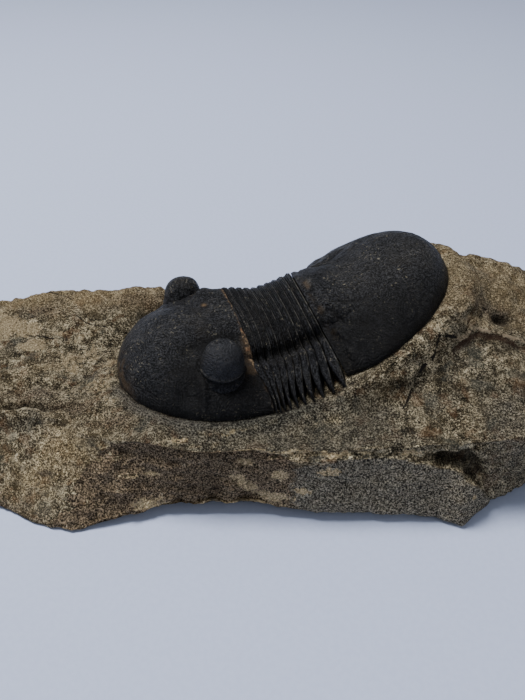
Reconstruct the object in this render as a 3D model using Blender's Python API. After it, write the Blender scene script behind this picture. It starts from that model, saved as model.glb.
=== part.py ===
"""Trilobite fossil: a flexed, smooth-shelled trilobite lying on a block of its own limestone.

Metres, +Z up. +X runs along the rock from the animal's head to its tail, +Y is the animal's right
side, and the origin is the centre of the rock's box on its flat underside.

Each shell plate is shaped in its own straight frame: x towards the tail, y towards the animal's
right and z up from the bed it lies on. The frames follow one bent line, so the thorax curves up
between a level head and a lifted tail, and the rock's top follows the same bed.
"""

import math

import bmesh
import bpy
import numpy as np
from mathutils import Matrix, Vector, noise

MM = 0.001

# Rock block.
ROCK_LENGTH = 143 * MM
ROCK_DEPTH = 70 * MM
ROCK_SIDE = 22 * MM
ROCK_CELL = 3.8 * MM
ROCK_ROUGHNESS = 0.7 * MM
ROCK_NOISE_SIZE = 14 * MM
# Plan of the block as (x, y): the break between top and front, the front foot, and the back.
FRONT_BREAK = (
    *((-72, -16.5), (-52, -16.5), (-42, -21.5), (-32, -26)),
    *((-15, -29.5), (30, -29.5), (50, -28), (72, -24.5)),
)
FRONT_FOOT = (
    *((-72, -24), (-58, -29.5), (-50, -33.5), (-41, -36.5), (-33, -34.5), (-22, -31.5)),
    *((0, -31.5), (38, -32.5), (43, -34.5), (49, -29), (57, -25.5), (72, -20.5)),
)
BACK_EDGE = ((-72, 25.5), (-50, 27.5), (-28, 27.5), (-12, 32.5), (15, 35.5), (40, 33.5), (72, 24.5))
# How high the front foot hangs over the table, as (x, height).
FOOT_LIFT = (
    *((-72, 2.5), (-55, 0.6), (-38, 0.6), (-24, 2.6)),
    *((0, 3.2), (30, 2.6), (45, 0.8), (58, 2.6), (72, 3)),
)
FOOT_SETBACK = 6 * MM
BACK_LIFT = 2 * MM
END_LEAN = 4 * MM
# Height of the rock's top away from the fossil.
TOP_AT_HEAD = 18.2 * MM
TOP_RISE = 16.2 * MM
TOP_TILT = 3.6 * MM
TOP_SINK = 1.6 * MM
TOP_DROP = 5.2 * MM
BACK_DROP = 11 * MM

# Trilobite, along its own straight axis.
HEAD_LENGTH = 27 * MM
HEAD_HEIGHT = 13.9 * MM
THORAX_LENGTH = 22.4 * MM
TAIL_LENGTH = 33.6 * MM
TAIL_HEIGHT = 8.9 * MM
TAIL_SWELL = 0.38
HALF_WIDTH = 23.2 * MM
TAIL_HALF_WIDTH = 22.1 * MM
AXIS_HALF_WIDTH = 12.5 * MM
FLANK_HEIGHT = 8.4 * MM
AXIS_RISE = 5.5 * MM
MARGIN_HEIGHT = 0.5 * MM
UNDERSIDE = 0.15 * MM
JOINT_GAP = 0.3 * MM
SEGMENTS = 10
# The pleurae fan: between head and tail their ends lean forward, and at the head slightly back.
PLEURA_LEAN = 2.8 * MM
GENAL_SWEEP = 1.6 * MM
PLEURA_ROOT = 0.62
PLEURA_TIP = 0.3
RING_DIP = 0.03
TAIL_TURN = math.radians(5)
# The body is crushed up a little on its right, behind the right eye.
SWELL_HEIGHT = 2.2 * MM
SWELL_MIDDLE = 8.5 * MM
SWELL_WIDTH = 4.6 * MM

# Eyes, in head lengths forward and half widths out.
EYE_FORWARD = 0.27
EYE_OUT = 0.66
EYE_MIDDLE = 7.4 * MM
EYE_RISE = 7.8 * MM
EYE_ROOT = 4.5 * MM
EYE_LENGTH_RADIUS = 4.7 * MM
EYE_WIDTH_RADIUS = 4.5 * MM
EYE_FULLNESS = 0.55
CREST_OUT = 0.25

# Place of the thorax's middle on the bed, and how the body lies and bends.
BODY_CENTRE = Vector((3.4, 4.1, 19.55)) * MM
BODY_YAW = math.radians(18.2)
BODY_PITCH = math.radians(10.9)
BODY_ROLL = math.radians(-4)
BEND_PITCH = math.radians(25.8)
BEND_YAW = math.radians(-7.4)
PITCH_RADIUS = THORAX_LENGTH / BEND_PITCH
YAW_RADIUS = THORAX_LENGTH / BEND_YAW

# The cheeks' cutters: how far the seam slants forward to the margin, and how far they pass it.
SUTURE_SLANT = 3.4 * MM
CHEEK_SPARE = 9 * MM
CUTTER_HALF_HEIGHT = 25 * MM

MERGE = 0.02 * MM
MARGIN_TAPER = 0.9999


# ---- Profiles ----


def superellipse(t, power, root):
    """A dome from 1 at t = 0 down to 0 at t = 1."""
    return np.clip(1 - np.abs(t) ** power, 0, 1) ** (1 / root)


def smoothstep(low, high, value):
    t = np.clip((value - low) / (high - low), 0, 1)
    return t * t * (3 - 2 * t)


def through(points, x):
    """Height in metres of a line through (x, height) points given in millimetres."""
    xs, heights = zip(*points)
    return np.interp(x, np.array(xs) * MM, np.array(heights) * MM)


def flank_and_axis(y):
    """Height of the thorax across the body: a low flank with the raised axis on it."""
    flank = FLANK_HEIGHT * superellipse(y / HALF_WIDTH, 2.5, 1.55)
    axis = AXIS_RISE * superellipse(np.clip(np.abs(y) / AXIS_HALF_WIDTH, 0, 1), 2.0, 2.0)
    return flank + axis


def swell(y):
    """The crushed-up stretch right of the axis."""
    return SWELL_HEIGHT * np.exp(-(((y - SWELL_MIDDLE) / SWELL_WIDTH) ** 2))


# ---- The bent line the plates follow, and the bed under them ----


def body_matrix():
    turn = Matrix.Rotation(BODY_YAW, 4, "Z") @ Matrix.Rotation(-BODY_PITCH, 4, "Y")
    return Matrix.Translation(BODY_CENTRE) @ turn @ Matrix.Rotation(BODY_ROLL, 4, "X")


def plate_matrix(t):
    """Frame of a plate at fraction t of the thorax, from -0.5 at the head to 0.5 at the tail."""
    pitch = BEND_PITCH * t
    yaw = BEND_YAW * t
    place = Vector(
        (
            YAW_RADIUS * math.sin(yaw),
            YAW_RADIUS * (1 - math.cos(yaw)),
            PITCH_RADIUS * (1 - math.cos(pitch)),
        )
    )
    turn = Matrix.Rotation(yaw, 4, "Z") @ Matrix.Rotation(-pitch, 4, "Y")
    return body_matrix() @ Matrix.Translation(place) @ turn


def bed_point(along, across):
    """World x, y, z of the bed at straight distances along and across the body."""
    t = np.clip(along / THORAX_LENGTH, -0.5, 0.5)
    pitch = BEND_PITCH * t
    yaw = BEND_YAW * t
    beyond = along - t * THORAX_LENGTH
    flat = beyond * np.cos(pitch)
    x = YAW_RADIUS * np.sin(yaw) + flat * np.cos(yaw) - across * np.sin(yaw)
    y = YAW_RADIUS * (1 - np.cos(yaw)) + flat * np.sin(yaw) + across * np.cos(yaw)
    z = PITCH_RADIUS * (1 - np.cos(pitch)) + beyond * np.sin(pitch)
    body = np.array(body_matrix())
    return body[:3, :3] @ np.stack([x, y, z]) + body[:3, 3:]


def bed_coordinates(x, y):
    """Straight distances (along, across) of the bed under world (x, y), by repeated correction."""
    along = np.zeros_like(x)
    across = np.zeros_like(x)
    for _ in range(25):
        found = bed_point(along, across)
        miss_x = x - found[0]
        miss_y = y - found[1]
        along = along + miss_x * math.cos(BODY_YAW) + miss_y * math.sin(BODY_YAW)
        across = across - miss_x * math.sin(BODY_YAW) + miss_y * math.cos(BODY_YAW)
    return along, across


# ---- Shell plates: grids u by v laid over a dome, with u along the body and v across it ----


def genal_shift(v, forward):
    """How far the head's rear corners reach back."""
    return GENAL_SWEEP * smoothstep(PLEURA_ROOT, 1, np.abs(v)) * (1 - smoothstep(0, 0.3, forward))


def head_surface(u, v):
    forward = np.sin((u + 1) / 2 * math.pi / 2)
    half_width = HALF_WIDTH * superellipse(forward * MARGIN_TAPER, 2.1, 1.92)
    y = v * half_width
    blend = smoothstep(0, 0.28, forward)
    dome = HEAD_HEIGHT * superellipse(v, 2.3, 1.7)
    mixed = (1 - blend) * flank_and_axis(v * HALF_WIDTH) + blend * dome
    z = superellipse(forward, 2.6, 2.2) * mixed
    z = z + swell(y) * smoothstep(0.35, 0.1, forward)
    x = -JOINT_GAP / 2 - forward * HEAD_LENGTH + genal_shift(v, forward)
    return np.stack([x, y, MARGIN_HEIGHT + z], axis=1)


def tail_surface(u, v):
    backward = np.sin((u + 1) / 2 * math.pi / 2)
    half_width = TAIL_HALF_WIDTH * superellipse(backward * MARGIN_TAPER, 2.4, 1.95)
    y = v * half_width
    blend = smoothstep(0, 0.35, backward)
    dome = TAIL_HEIGHT * (1 + TAIL_SWELL * backward) * superellipse(v, 2.2, 1.7)
    ring = flank_and_axis(v * HALF_WIDTH)
    z = superellipse(backward, 5.0, 2.0) * ((1 - blend) * ring + blend * dome)
    x = backward * TAIL_LENGTH
    turn = TAIL_TURN * smoothstep(0, 0.3, backward)
    return np.stack([JOINT_GAP / 2 + x - turn * y, y + turn * x, MARGIN_HEIGHT + z], axis=1)


def pleura_shift(t, v):
    """Lean of the pleurae along the body, which fans their ends and matches the head's sweep."""
    lean = -PLEURA_LEAN * (1 - (2 * t) ** 2) + GENAL_SWEEP * (0.5 - t)
    return lean * smoothstep(PLEURA_ROOT, 1, np.abs(v))


def segment_half_length(y, z):
    """Half the room a segment has along the body: less where the bend brings its neighbours closer."""
    pitch = THORAX_LENGTH / SEGMENTS
    return pitch / 2 * (1 - z / PITCH_RADIUS - y / YAW_RADIUS) - JOINT_GAP / 2


def segment_taper(v):
    """Narrows a pleura to its pointed end."""
    tip = np.clip((np.abs(v) - 0.8) / 0.2, 0, 1)
    return 1 - (1 - PLEURA_TIP) * tip**1.6


def segment_surface(t):
    def surface(u, v):
        y = v * HALF_WIDTH
        z = flank_and_axis(y) + swell(y) * smoothstep(0.05, -0.5, t)
        front = pleura_shift(t - 0.5 / SEGMENTS, v)
        back = pleura_shift(t + 0.5 / SEGMENTS, v)
        half_length = segment_half_length(y, z + MARGIN_HEIGHT) + (back - front) / 2
        x = (front + back) / 2 + u * half_length * segment_taper(v)
        return np.stack([x, y, MARGIN_HEIGHT + z * (1 - RING_DIP * u**4)], axis=1)

    return surface


def grid_mesh(rows, columns, surface):
    """An open grid laid over a surface. Across, its points crowd towards both margins."""
    mesh = bmesh.new()
    bmesh.ops.create_grid(mesh, x_segments=rows, y_segments=columns, size=1)
    points = np.array([vertex.co[:2] for vertex in mesh.verts])
    placed = surface(points[:, 0], np.sin(points[:, 1] * math.pi / 2))
    for vertex, place in zip(mesh.verts, placed):
        vertex.co = place
    bmesh.ops.remove_doubles(mesh, verts=mesh.verts, dist=MERGE)
    return mesh


def face_outwards(mesh):
    bmesh.ops.recalc_face_normals(mesh, faces=mesh.faces)
    if mesh.calc_volume(signed=True) < 0:
        bmesh.ops.reverse_faces(mesh, faces=mesh.faces)


def shaped_plate(name, rows, columns, surface, material, matrix):
    """A solid plate: the surface, walls down from its margin and a flat underside."""
    mesh = grid_mesh(rows, columns, surface)
    rim = [edge for edge in mesh.edges if edge.is_boundary]
    walls = bmesh.ops.extrude_edge_only(mesh, edges=rim)["geom"]
    for vertex in walls:
        if isinstance(vertex, bmesh.types.BMVert):
            vertex.co.z = UNDERSIDE
    foot = [edge for edge in walls if isinstance(edge, bmesh.types.BMEdge) and edge.is_boundary]
    bmesh.ops.contextual_create(mesh, geom=foot)
    face_outwards(mesh)
    return add_object(name, mesh, material, matrix)


# ---- Eyes and cheeks: turrets join the head, which is split along its facial sutures ----


def add_eye(name, side, matrix):
    """A turret with a domed top, whose root is sunk into the head."""
    mesh = bmesh.new()
    bmesh.ops.create_uvsphere(mesh, u_segments=28, v_segments=14, radius=1)
    for vertex in mesh.verts:
        ring = math.hypot(vertex.co.x, vertex.co.y)
        fullness = ring ** (EYE_FULLNESS - 1) if ring > MERGE else 0
        height = EYE_RISE if vertex.co.z > 0 else EYE_ROOT
        vertex.co = (
            vertex.co.x * fullness * EYE_LENGTH_RADIUS - EYE_FORWARD * HEAD_LENGTH,
            vertex.co.y * fullness * EYE_WIDTH_RADIUS + side * EYE_OUT * HALF_WIDTH,
            vertex.co.z * height + EYE_MIDDLE,
        )
    return as_tool(add_object(name, mesh, None, matrix))


def as_tool(made):
    """Moves an object among the shapes that only cut or join others."""
    parts.objects.unlink(made)
    cutters.objects.link(made)
    made.hide_render = True
    made.display_type = "WIRE"
    return made


def suture_outline(side, inset):
    """Outline of a cheek in plan, from the margin past the eye's crest to the rear edge."""
    eye_x = -EYE_FORWARD * HEAD_LENGTH
    eye_y = EYE_OUT * HALF_WIDTH
    crest = eye_y + CREST_OUT * EYE_WIDTH_RADIUS
    outside = HALF_WIDTH + CHEEK_SPARE
    behind = 4 * MM
    line = [
        (eye_x - EYE_LENGTH_RADIUS - SUTURE_SLANT, outside),
        (eye_x - 0.95 * EYE_LENGTH_RADIUS, eye_y - 0.4 * EYE_WIDTH_RADIUS),
        (eye_x - 0.6 * EYE_LENGTH_RADIUS, crest - 0.1 * EYE_WIDTH_RADIUS),
        (eye_x, crest),
        (eye_x + 0.6 * EYE_LENGTH_RADIUS, crest - 0.1 * EYE_WIDTH_RADIUS),
        (eye_x + EYE_LENGTH_RADIUS, eye_y - 0.2 * EYE_WIDTH_RADIUS),
        (behind, 0.93 * HALF_WIDTH),
        (behind, outside),
    ]
    middle = Vector((eye_x + 1 * MM, outside))
    moved = [Vector(point) + (middle - Vector(point)).normalized() * inset for point in line]
    return [(point.x, side * point.y) for point in moved]


def prism(name, outline, matrix):
    """A cutter: a flat outline filled and extruded over the head's whole height."""
    curve = bpy.data.curves.new(name, "CURVE")
    curve.dimensions = "2D"
    curve.fill_mode = "BOTH"
    curve.extrude = CUTTER_HALF_HEIGHT
    spline = curve.splines.new("POLY")
    spline.points.add(len(outline) - 1)
    spline.use_cyclic_u = True
    for point, (x, y) in zip(spline.points, outline):
        point.co = (x, y, 0, 1)
    guide = bpy.data.objects.new(name + "_outline", curve)
    cutters.objects.link(guide)
    graph = bpy.context.evaluated_depsgraph_get()
    solid = bmesh.new()
    solid.from_mesh(bpy.data.meshes.new_from_object(guide.evaluated_get(graph)))
    bmesh.ops.remove_doubles(solid, verts=solid.verts, dist=MERGE)
    face_outwards(solid)
    bpy.data.objects.remove(guide)
    return as_tool(add_object(name, solid, None, matrix))


def combine(target, tool, operation):
    modifier = target.modifiers.new(tool.name, "BOOLEAN")
    modifier.operation = operation
    modifier.solver = "EXACT"
    modifier.object = tool


# ---- Rock ----


def rock_top(x, y):
    """The bed under the fossil, flowing into the rock's own broken top away from it."""
    along, across = bed_coordinates(x, y)
    bed = bed_point(along, across)[2] - JOINT_GAP / 2
    middle = (TAIL_LENGTH - HEAD_LENGTH) / 2
    half_length = (HEAD_LENGTH + THORAX_LENGTH + TAIL_LENGTH) / 2
    reach = (np.abs((along - middle) / half_length) ** 2.5 + np.abs(across / HALF_WIDTH) ** 2.5) ** 0.4
    open_rock = smoothstep(1.04, 1.25, reach)
    back = 0.1 + 0.9 * smoothstep(-28.5 * MM, 13.5 * MM, y)
    rise = TOP_RISE * smoothstep(5 * MM, 46 * MM, x) * back
    fall = TOP_DROP * smoothstep(50 * MM, 72 * MM, x) * back
    tilt = TOP_TILT * smoothstep(-6.5 * MM, 23.5 * MM, y) * smoothstep(0, -25 * MM, x)
    behind = BACK_DROP * smoothstep(21.5 * MM, 35.5 * MM, y) * smoothstep(-30 * MM, -15 * MM, x)
    sink = TOP_SINK * smoothstep(-50 * MM, -72 * MM, x)
    open_top = TOP_AT_HEAD + tilt + rise - fall - behind - sink
    return (1 - open_rock) * bed + open_rock * open_top, open_rock


def rock_foot(x, y):
    """The flat underside, which rises towards the front foot, the back and the ends."""
    front = smoothstep(FOOT_SETBACK, 0, y - through(FRONT_FOOT, x)) * through(FOOT_LIFT, x)
    back = smoothstep(FOOT_SETBACK, 0, through(BACK_EDGE, x) - y) * BACK_LIFT
    ends = smoothstep(0.93, 1, np.abs(x) * 2 / ROCK_LENGTH) * BACK_LIFT
    return np.maximum(np.maximum(front, back), ends)


def roughness(x, y, z):
    """Broken-rock relief, the same on each run."""
    places = np.stack([x, y, z], axis=1) / ROCK_NOISE_SIZE
    return ROCK_ROUGHNESS * np.array([noise.fractal(Vector(p), 1, 2, 3) for p in places])


def rock_surface(a, b, c):
    """Lays a cube's points, each from -1 to 1, over the block."""
    front_to_back = (b + 1) / 2
    up = (c + 1) / 2
    lean = END_LEAN * (1 - up) * np.sin(np.abs(a) * math.pi / 2)
    x = a * (ROCK_LENGTH / 2 - lean * smoothstep(0.6, 1, np.abs(a)))
    front = (1 - up) * through(FRONT_FOOT, x) + up * through(FRONT_BREAK, x)
    back = through(BACK_EDGE, x) - 3 * MM * up
    y = (1 - front_to_back) * front + front_to_back * back
    top, open_rock = rock_top(x, y)
    foot = rock_foot(x, y)
    relief = roughness(x, y, up * top)
    flat_foot = (c <= -1) & (foot <= 0)
    z = (1 - up) * foot + up * (top + relief * open_rock)
    on_side = np.maximum(np.abs(a), np.abs(b)) >= 1
    y = y + on_side * np.sin(up * math.pi) * relief
    return np.stack([x, y, np.where(flat_foot, 0, z)], axis=1)


def add_rock(material):
    mesh = bmesh.new()
    bmesh.ops.create_cube(mesh, size=2)
    cells = (ROCK_LENGTH / ROCK_CELL, ROCK_DEPTH / ROCK_CELL, ROCK_SIDE / ROCK_CELL)
    for axis, count in enumerate(cells):
        across = [edge for edge in mesh.edges if runs_along(edge, axis)]
        bmesh.ops.subdivide_edges(mesh, edges=across, cuts=round(count), use_grid_fill=True)
    points = np.array([vertex.co for vertex in mesh.verts])
    for vertex, place in zip(mesh.verts, rock_surface(*points.T)):
        vertex.co = place
    face_outwards(mesh)
    return add_object("matrix_rock", mesh, material, Matrix())


def runs_along(edge, axis):
    first, second = (vertex.co for vertex in edge.verts)
    return abs(first[axis] - second[axis]) > 1e-6


# ---- Scene ----


def clear_scene():
    for old in list(bpy.data.objects):
        bpy.data.objects.remove(old)


def new_collection(name):
    collection = bpy.data.collections.new(name)
    bpy.context.scene.collection.children.link(collection)
    return collection


def new_material(name, colour, roughness_value):
    material = bpy.data.materials.new(name)
    material.use_nodes = True
    shader = material.node_tree.nodes["Principled BSDF"]
    shader.inputs["Base Color"].default_value = (*colour, 1)
    shader.inputs["Roughness"].default_value = roughness_value
    shader.inputs["Metallic"].default_value = 0
    material.diffuse_color = (*colour, 1)
    return material


def add_object(name, mesh, material, matrix):
    data = bpy.data.meshes.new(name)
    mesh.to_mesh(data)
    mesh.free()
    data.shade_smooth()
    data.set_sharp_from_angle(angle=math.radians(40))
    if material:
        data.materials.append(material)
    made = bpy.data.objects.new(name, data)
    parts.objects.link(made)
    made.parent = root
    made.matrix_local = matrix
    return made


def add_head(material):
    place = plate_matrix(-0.5)
    cranidium = shaped_plate("cranidium", 22, 34, head_surface, material, place)
    rooms = []
    for name, side in (("left_free_cheek", -1), ("right_free_cheek", 1)):
        cheek = shaped_plate(name, 22, 34, head_surface, material, place)
        eye = add_eye(name + "_eye", side, place)
        combine(cheek, eye, "UNION")
        combine(cheek, prism(name + "_keep", suture_outline(side, JOINT_GAP), place), "INTERSECT")
        combine(cranidium, eye, "UNION")
        rooms.append(prism(name + "_room", suture_outline(side, 0), place))
    for room in rooms:
        combine(cranidium, room, "DIFFERENCE")


def add_thorax(material):
    for number in range(1, SEGMENTS + 1):
        t = (number - 0.5) / SEGMENTS - 0.5
        name = f"thorax_segment_{number:02d}"
        shaped_plate(name, 2, 32, segment_surface(t), material, plate_matrix(t))


clear_scene()
parts = new_collection("trilobite_fossil")
cutters = new_collection("cutters")
cutters.hide_render = True
root = bpy.data.objects.new("trilobite_fossil", None)
parts.objects.link(root)

shell = new_material("black_calcite_shell", (0.022, 0.023, 0.026), 0.45)
limestone = new_material("limestone", (0.15, 0.125, 0.085), 0.9)

add_rock(limestone)
add_head(shell)
add_thorax(shell)
shaped_plate("pygidium", 20, 32, tail_surface, shell, plate_matrix(0.5))
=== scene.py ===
"""Looks of the trilobite fossil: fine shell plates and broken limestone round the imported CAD.

Metres, in the row frame. The shell plates follow the same curves as the CAD's, laid with a fine
grid and given their rings, ribs, furrows and eyes. The rock is the CAD's block with its ledges,
cracks, chipped faces and tool marks.
"""

import math

import bmesh
import bpy
import numpy as np
from mathutils import Matrix, Vector, noise


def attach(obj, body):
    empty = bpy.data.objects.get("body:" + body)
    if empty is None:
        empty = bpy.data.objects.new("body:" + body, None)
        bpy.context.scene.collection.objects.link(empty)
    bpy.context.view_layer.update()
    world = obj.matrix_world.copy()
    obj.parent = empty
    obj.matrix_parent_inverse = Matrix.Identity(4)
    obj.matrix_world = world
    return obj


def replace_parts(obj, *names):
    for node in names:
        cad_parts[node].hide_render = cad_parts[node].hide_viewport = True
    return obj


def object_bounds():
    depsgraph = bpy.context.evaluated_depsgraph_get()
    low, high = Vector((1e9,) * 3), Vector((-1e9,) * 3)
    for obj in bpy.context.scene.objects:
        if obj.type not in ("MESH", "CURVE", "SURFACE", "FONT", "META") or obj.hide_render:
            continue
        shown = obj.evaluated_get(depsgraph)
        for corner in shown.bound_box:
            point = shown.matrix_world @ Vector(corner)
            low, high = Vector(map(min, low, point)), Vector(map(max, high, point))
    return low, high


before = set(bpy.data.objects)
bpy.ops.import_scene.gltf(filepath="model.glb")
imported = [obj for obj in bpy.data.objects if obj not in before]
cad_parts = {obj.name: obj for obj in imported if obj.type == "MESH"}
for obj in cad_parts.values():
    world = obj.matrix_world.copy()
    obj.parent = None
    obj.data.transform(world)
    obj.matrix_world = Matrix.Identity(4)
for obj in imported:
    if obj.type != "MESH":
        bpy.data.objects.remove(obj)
CAD_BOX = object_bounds()
MM = 0.001

# ---- Sizes shared with the CAD ----

ROCK_LENGTH = 143 * MM
ROUGH_HEIGHT = 0.7 * MM
ROUGH_SIZE = 14 * MM
FRONT_BREAK = (
    *((-72, -16.5), (-52, -16.5), (-42, -21.5), (-32, -26)),
    *((-15, -29.5), (30, -29.5), (50, -28), (72, -24.5)),
)
FRONT_FOOT = (
    *((-72, -24), (-58, -29.5), (-50, -33.5), (-41, -36.5), (-33, -34.5), (-22, -31.5)),
    *((0, -31.5), (38, -32.5), (43, -34.5), (49, -29), (57, -25.5), (72, -20.5)),
)
BACK_EDGE = ((-72, 25.5), (-50, 27.5), (-28, 27.5), (-12, 32.5), (15, 35.5), (40, 33.5), (72, 24.5))
FOOT_LIFT = (
    *((-72, 2.5), (-55, 0.6), (-38, 0.6), (-24, 2.6)),
    *((0, 3.2), (30, 2.6), (45, 0.8), (58, 2.6), (72, 3)),
)
FOOT_SETBACK = 6 * MM
BACK_LIFT = 2 * MM
END_LEAN = 4 * MM
TOP_AT_HEAD = 18.2 * MM
TOP_RISE = 16.2 * MM
TOP_TILT = 3.6 * MM
TOP_SINK = 1.6 * MM
TOP_DROP = 5.2 * MM
BACK_DROP = 11 * MM

HEAD_LENGTH = 27.0 * MM
HEAD_HEIGHT = 13.9 * MM
THORAX_LENGTH = 22.4 * MM
TAIL_LENGTH = 33.6 * MM
TAIL_HEIGHT = 8.9 * MM
TAIL_SWELL = 0.38
HALF_WIDTH = 23.2 * MM
TAIL_HALF_WIDTH = 22.1 * MM
AXIS_HALF_WIDTH = 12.5 * MM
FLANK_HEIGHT = 8.4 * MM
AXIS_RISE = 5.5 * MM
MARGIN_HEIGHT = 0.5 * MM
UNDERSIDE = 0.15 * MM
JOINT_GAP = 0.3 * MM
SEGMENTS = 10
PLEURA_LEAN = 2.8 * MM
GENAL_SWEEP = 1.6 * MM
PLEURA_ROOT = 0.62
PLEURA_TIP = 0.3
TAIL_TURN = math.radians(5)
SWELL_HEIGHT = 2.2 * MM
SWELL_MIDDLE = 8.5 * MM
SWELL_WIDTH = 4.6 * MM
EYE_FORWARD = 0.27
EYE_OUT = 0.66
EYE_MIDDLE = 7.4 * MM
EYE_RISE = 7.8 * MM
EYE_ROOT = 4.5 * MM
EYE_LENGTH_RADIUS = 4.7 * MM
EYE_WIDTH_RADIUS = 4.5 * MM
EYE_FULLNESS = 0.55
BODY_CENTRE = Vector((3.4, 4.1, 19.55)) * MM
BODY_YAW = math.radians(18.2)
BODY_PITCH = math.radians(10.9)
BODY_ROLL = math.radians(-4)
BEND_PITCH = math.radians(25.8)
BEND_YAW = math.radians(-7.4)
PITCH_RADIUS = THORAX_LENGTH / BEND_PITCH
YAW_RADIUS = THORAX_LENGTH / BEND_YAW
MARGIN_TAPER = 0.9999
MERGE = 0.02 * MM
FLAT = 0.0001 * MM
SHARP_EDGE = math.radians(55)
# Ends of the thorax, in its lengths from the middle, and the tail's neck line and its width.
HEAD_JOINT = -0.5
TAIL_JOINT = 0.5
TAIL_NECK = (0.05, 0.016)
# The joint's fill, in millimetres across the animal.
FILL_LEFT = -17.5
FILL_RIGHT = 15
LEAST_WALL = 0.1 * MM
RING_SLIT = 0.02 * MM
BACK_LEAN = 3 * MM
# Share of the CAD box by which the rock may pass it.
BOX_SPARE = 0.012

# ---- Grids: counts along and across ----

HEAD_GRID = (170, 260)
RING_GRID = (30, 300)
TAIL_GRID = (170, 270)
EYE_GRID = (150, 90)
ROCK_GRID = (310, 150, 52)
FILL_GRID = (13, 220)


# ---- Profiles ----


def superellipse(t, power, root):
    """A dome from 1 at t = 0 down to 0 at t = 1."""
    return np.clip(1 - np.abs(t) ** power, 0, 1) ** (1 / root)


def smoothstep(low, high, value):
    t = np.clip((value - low) / (high - low), 0, 1)
    return t * t * (3 - 2 * t)


def bump_at(value, middle, width):
    """A rounded ridge of height 1."""
    return np.exp(-(((value - middle) / width) ** 2))


def smooth_mm(low, high, value):
    """smoothstep between two lengths in millimetres."""
    return smoothstep(low * MM, high * MM, value)


def bump_mm(value, middle, width):
    """bump_at with its lengths in millimetres."""
    return bump_at(value, middle * MM, width * MM)


def eased(u):
    """0 to 1 as u goes from -1 to 1, slower towards 1."""
    return np.sin((u + 1) / 2 * math.pi / 2)


def through(points, x):
    """Height over x of the line through a list of points in millimetres."""
    xs, heights = zip(*points)
    return np.interp(x, np.array(xs) * MM, np.array(heights) * MM)


def fractal(points, size, octaves, seed=0.0):
    """Soft noise of about -1 to 1, whose largest lumps are about size across."""
    places = (points / size + seed).tolist()
    return np.array([noise.fractal(place, 1.0, 2.0, octaves) for place in places])


def flat_noise(base, size, octaves, seed):
    """The same noise over a grid of points."""
    return fractal(base.reshape(-1, 3), size, octaves, seed).reshape(base.shape[:2])


def cells(points, size, seed):
    """Distances to the nearest and second nearest of scattered points, in sizes."""
    places = (points / size + seed).tolist()
    return np.array([noise.voronoi(place)[0][:2] for place in places]).T


# ---- The bent line the plates follow ----


def body_matrix():
    turn = Matrix.Rotation(BODY_YAW, 4, "Z") @ Matrix.Rotation(-BODY_PITCH, 4, "Y")
    return Matrix.Translation(BODY_CENTRE) @ turn @ Matrix.Rotation(BODY_ROLL, 4, "X")


def plate_matrix(t):
    pitch = BEND_PITCH * t
    yaw = BEND_YAW * t
    place = Vector(
        (
            YAW_RADIUS * math.sin(yaw),
            YAW_RADIUS * (1 - math.cos(yaw)),
            PITCH_RADIUS * (1 - math.cos(pitch)),
        )
    )
    turn = Matrix.Rotation(yaw, 4, "Z") @ Matrix.Rotation(-pitch, 4, "Y")
    return body_matrix() @ Matrix.Translation(place) @ turn


def bed_point(along, across):
    t = np.clip(along / THORAX_LENGTH, -0.5, 0.5)
    pitch = BEND_PITCH * t
    yaw = BEND_YAW * t
    beyond = along - t * THORAX_LENGTH
    flat = beyond * np.cos(pitch)
    x = YAW_RADIUS * np.sin(yaw) + flat * np.cos(yaw) - across * np.sin(yaw)
    y = YAW_RADIUS * (1 - np.cos(yaw)) + flat * np.sin(yaw) + across * np.cos(yaw)
    z = PITCH_RADIUS * (1 - np.cos(pitch)) + beyond * np.sin(pitch)
    body = np.array(body_matrix())
    return body[:3, :3] @ np.stack([x, y, z]) + body[:3, 3:]


def bed_coordinates(x, y):
    along = np.zeros_like(x)
    across = np.zeros_like(x)
    for _ in range(25):
        found = bed_point(along, across)
        miss_x = x - found[0]
        miss_y = y - found[1]
        along = along + miss_x * math.cos(BODY_YAW) + miss_y * math.sin(BODY_YAW)
        across = across - miss_x * math.sin(BODY_YAW) + miss_y * math.cos(BODY_YAW)
    return along, across


def beyond_margin(along, across):
    """Distance outside the shell's outline on the bed, negative under the shell."""
    half = THORAX_LENGTH / 2
    forward = np.clip((-along - half) / HEAD_LENGTH, 0, None)
    head = (np.abs(across / HALF_WIDTH) ** 2 + forward**2.1) ** 0.5 - 1
    back = np.clip(along - half, 0, None)
    turned = across - TAIL_TURN * back
    back = (back + TAIL_TURN * across) / TAIL_LENGTH
    wide = TAIL_HALF_WIDTH + (HALF_WIDTH - TAIL_HALF_WIDTH) * smoothstep(0.3, 0, back)
    tail = (np.abs(turned / wide) ** 2.05 + np.clip(back, 0, None) ** 2.4) ** 0.5 - 1
    return np.where(along < 0, head * 25 * MM, tail * 26 * MM)


# ---- Meshes ----


def add_mesh(name, vertices, faces, material):
    data = bpy.data.meshes.new(name)
    data.from_pydata(vertices, [], faces)
    data.materials.append(material)
    made = bpy.data.objects.new(name, data)
    bpy.context.scene.collection.objects.link(made)
    return made


def normals_of(thing):
    found = np.empty(len(thing.data.vertices) * 3, np.float32)
    thing.data.vertices.foreach_get("normal", found)
    return found.reshape(-1, 3).astype(float)


def numbered(rows, columns):
    return np.arange(rows * columns).reshape(rows, columns)


def grid_quads(index):
    """The quads of a grid of vertex numbers."""
    corners = [index[:-1, :-1], index[1:, :-1], index[1:, 1:], index[:-1, 1:]]
    return np.stack(corners, axis=-1).reshape(-1, 4).tolist()


def tube_quads(index):
    """The same with the last row joined to the first."""
    return grid_quads(np.concatenate([index, index[:1]]))


def face_outwards(mesh):
    bmesh.ops.recalc_face_normals(mesh, faces=mesh.faces)
    if mesh.calc_volume(signed=True) < 0:
        bmesh.ops.reverse_faces(mesh, faces=mesh.faces)


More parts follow.
